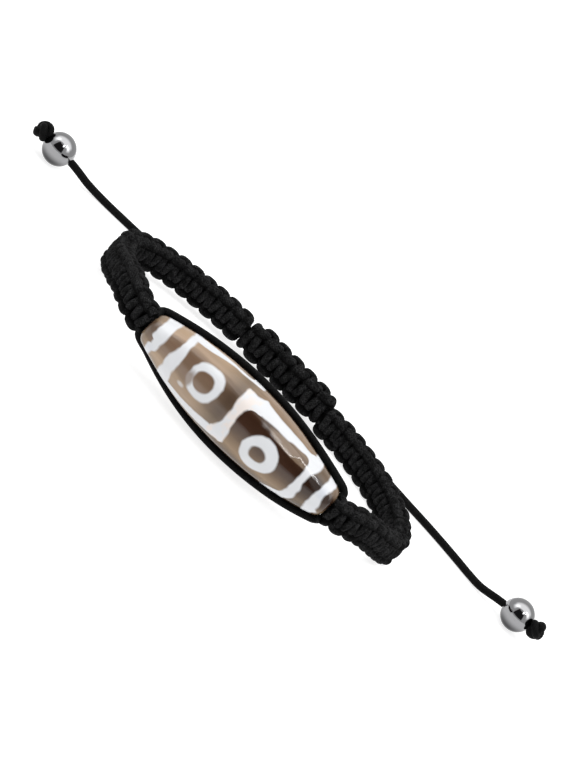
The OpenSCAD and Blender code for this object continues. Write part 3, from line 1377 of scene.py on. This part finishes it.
@dataclass
class Bracelet:
    """The whole bracelet."""

    bead_line: BeadLine = field(default_factory=BeadLine)

    def make(self) -> list[bpy.types.Object]:
        """Builds every piece, cords first.

        Returns:
            The pieces.
        """
        finishes = {
            Slot.KNOTTED: CordFinish(
                "knotted_black_cord", fleck=(0.042, 0.042, 0.043, 1), rough=0.85,
                fuzz_depth=0.11, shine=0.03, groove_shade=0.96,
            ).make(),
            Slot.SMOOTH: CordFinish(
                "smooth_black_cord", fleck=(0.007, 0.007, 0.0071, 1), rough=0.6,
                fuzz_depth=0.03, shine=0.06,
            ).make(),
            Slot.STEEL: SteelFinish().make(),
            Slot.AGATE: AgateFinish(tuple(self.bead_line.centre)).make(),
        }
        ends = [LooseEnd("left", LEFT_ROUTE), LooseEnd("right", RIGHT_ROUTE, knot_spin=0.7)]
        pieces = [piece for end in ends for piece in end.make(finishes)]
        left, right, slide = self.knots()
        shapes = [row.shape() for row in (left, right, slide)]
        shapes += [Bead(self.bead_line).shape(), CoreCord(self.bead_line).shape()]
        above = SideCord(self.bead_line, 43.0, 37.0, "cord_above_bead", "upper_side_cord")
        below = SideCord(
            self.bead_line, 162.5, 186.5, "cord_below_bead", "lower_side_cord", swing=(-18.0, 1.0)
        )
        for cord, turned in ((above, 1), (below, -1)):
            shapes.append(cord.shape(left.strand_start(turned), right.strand_start(turned)))
        return pieces + [shape.make(finishes) for shape in shapes]

    def knots(self) -> tuple[Knots, Knots, Knots]:
        """The knotted parts.

        Returns:
            The left band, the right band and the slide.
        """
        left = Knots(
            BandLine(
                side=-1, reach=33.5, fold=24.0, pulls=(7.5, 7.5, 6.5, 10.2), drop=(8, 27),
                end_z=3.8, bead=self.bead_line, lift=0.45,
            ),
            "left_knotted_band", "left_band", halves=41, first=-1, start=0.8, end_room=1.1,
            seed=11, width=5.65,
        )
        right = Knots(
            BandLine(
                side=1, reach=32.85, fold=17.6, pulls=(6.3, 2.5, 11.2, 11.5), drop=(5, 24),
                end_z=2.8, bead=self.bead_line,
            ),
            "right_knotted_band", "right_band", halves=40, first=-1, start=0.8, end_room=1.3,
            seed=12, width=5.55,
        )
        slide = Knots(
            StraightLine(half=9.8, z=3.7),
            "knotted_slide", "sliding_knot", halves=11, first=1, start=2.73, end_room=1.17,
            seed=13, width=6.2, thick=4.2, strand_r=0.8, tucked_start=True, wrap_at=1.1,
        )
        return left, right, slide


# The studio


@dataclass(frozen=True)
class Panel:
    """A part of the white room, in degrees: middle and half width, lowest, top and soft edge."""

    middle: float
    half: float
    low: float
    top: float
    soft: float

    def mask(self, side: Value, high: Value) -> Value:
        """The panel's place in the room.

        Args:
            side: degrees to the right
            high: degrees up

        Returns:
            1 inside the panel, with soft edges.
        """
        across = (side - self.middle).absolute().step(self.half + self.soft, self.half - self.soft)
        rising = high.step(self.low - self.soft, self.low + self.soft)
        return across * rising * high.step(self.top + self.soft, self.top - self.soft)


OPENING = Panel(-3.0, 38.0, 8.0, 58.0, 2.0)
LEFT_PANEL = Panel(-78.0, 16.0, 28.0, 62.0, 9.0)
RIGHT_PANEL = Panel(76.0, 14.0, 28.0, 60.0, 9.0)
LAMP = Panel(22.0, 6.0, 48.0, 62.0, 3.0)
# The thin lamp's curve: degrees to the right of the middle, degrees up and over from the front
HANGING_LAMP = (
    (-90, 68), (0, 69), (6.8, 67), (11, 58), (14.2, 54), (17.5, 58), (20, 72), (22.5, 79),
    (24.5, 78), (28, 66), (90, 66),
)


@dataclass(frozen=True)
class Light:
    """A white room with soft panels, a dark opening in front with a lamp in it, and overhead a
    wide panel with a thin lamp.

    The fields are the strengths, with the opening's as the share of the room's light it takes.
    """

    room: float = 0.8
    panels: float = 1.6
    opening: float = 0.97
    lamp: float = 5.0
    thin: float = 42.0
    overhead: float = 1.7

    def make(self) -> None:
        """Lights the scene."""
        bpy.context.scene.world = bpy.data.worlds.new("studio")
        tree = empty_tree(bpy.context.scene.world)
        x, y, z = tree.parts(tree.add("ShaderNodeTexCoord").outputs["Generated"])
        degrees = 180 / math.pi
        side = x.angle(y * -1.0) * degrees
        high = z.angle((x * x + y * y).root()) * degrees
        panels = LEFT_PANEL.mask(side, high).most(RIGHT_PANEL.mask(side, high))
        # A wide panel hangs overhead, and a thin lamp lies along a part of its near edge. The
        # steps are degrees to the right and degrees up and over
        aside = x.angle((y * y + z * z).root()) * degrees
        over = z.angle(y * -1.0) * degrees
        above = over - tree.curve(aside, HANGING_LAMP)
        thin = above.absolute().step(1.2, 0.4) * aside.step(12.0, 19.0) * aside.step(31.0, 28.0)
        overhead = above.step(-0.7, 0.7) * over.step(128.0, 100.0) * aside.absolute().step(60.0, 40.0)
        strength = (self.room + panels * self.panels) * (
            1.0 - OPENING.mask(side, high) * self.opening
        )
        strength += LAMP.mask(side, high) * self.lamp + thin * self.thin + overhead * self.overhead
        back = tree.add("ShaderNodeBackground", {"Color": (1, 1, 1, 1), "Strength": strength})
        tree.add("ShaderNodeOutputWorld", {"Surface": back.outputs[0]})


@dataclass
class Studio:
    """Camera, plain pale floor and plain soft light.

    Lengths are mm, and the camera's shifts are from the bead's middle, across and up its view.
    """

    bead: BeadLine
    elevation: float = 21.65
    roll: float = 45.5
    distance: float = 400.0
    shift_right: float = 1.82
    shift_up: float = 8.93
    focal_px: float = 2550.0
    image_h: float = 768.0
    sensor: float = 36.0
    floor_half: float = 4000.0

    def make(self) -> None:
        """Builds the studio."""
        self.make_camera()
        self.make_floor()
        Light().make()

    def make_camera(self) -> None:
        """Places the camera at the photograph's angle."""
        e, t = math.radians(self.elevation), math.radians(self.roll)
        ahead = np.array([0, math.cos(e), -math.sin(e)])
        right = np.array([1.0, 0, 0])
        above = np.array([0, math.sin(e), math.cos(e)])
        place = self.bead.centre + self.shift_right * right + self.shift_up * above - self.distance * ahead
        across = math.cos(t) * right + math.sin(t) * above
        upward = -math.sin(t) * right + math.cos(t) * above
        data = bpy.data.cameras.new("camera")
        data.sensor_width = self.sensor
        data.lens = self.focal_px / self.image_h * self.sensor
        data.clip_start, data.clip_end = 0.01, 20.0
        camera = bpy.data.objects.new("camera", data)
        bpy.context.scene.collection.objects.link(camera)
        rows = np.column_stack([across, upward, -ahead, place * MM])
        camera.matrix_world = Matrix([*rows.tolist(), [0, 0, 0, 1]])
        bpy.context.scene.camera = camera

    def make_floor(self) -> None:
        """Lays the floor."""
        size = self.floor_half * MM
        mesh = bpy.data.meshes.new("floor")
        corners = [(-size, -size, 0), (size, -size, 0), (size, size, 0), (-size, size, 0)]
        mesh.from_pydata(corners, [], [(0, 1, 2, 3)])
        mesh.materials.append(FloorFinish().make())
        floor = bpy.data.objects.new("floor", mesh)
        bpy.context.scene.collection.objects.link(floor)


def main() -> None:
    """Builds the studio and the bracelet."""
    logging.basicConfig(level=logging.INFO, format="%(message)s")
    bpy.context.scene.view_settings.view_transform = "Standard"
    bracelet = Bracelet()
    Studio(bracelet.bead_line).make()
    for piece in bracelet.make():
        log.info("%s: %d faces", piece.name, len(piece.data.polygons))


if __name__ == "__main__":
    main()
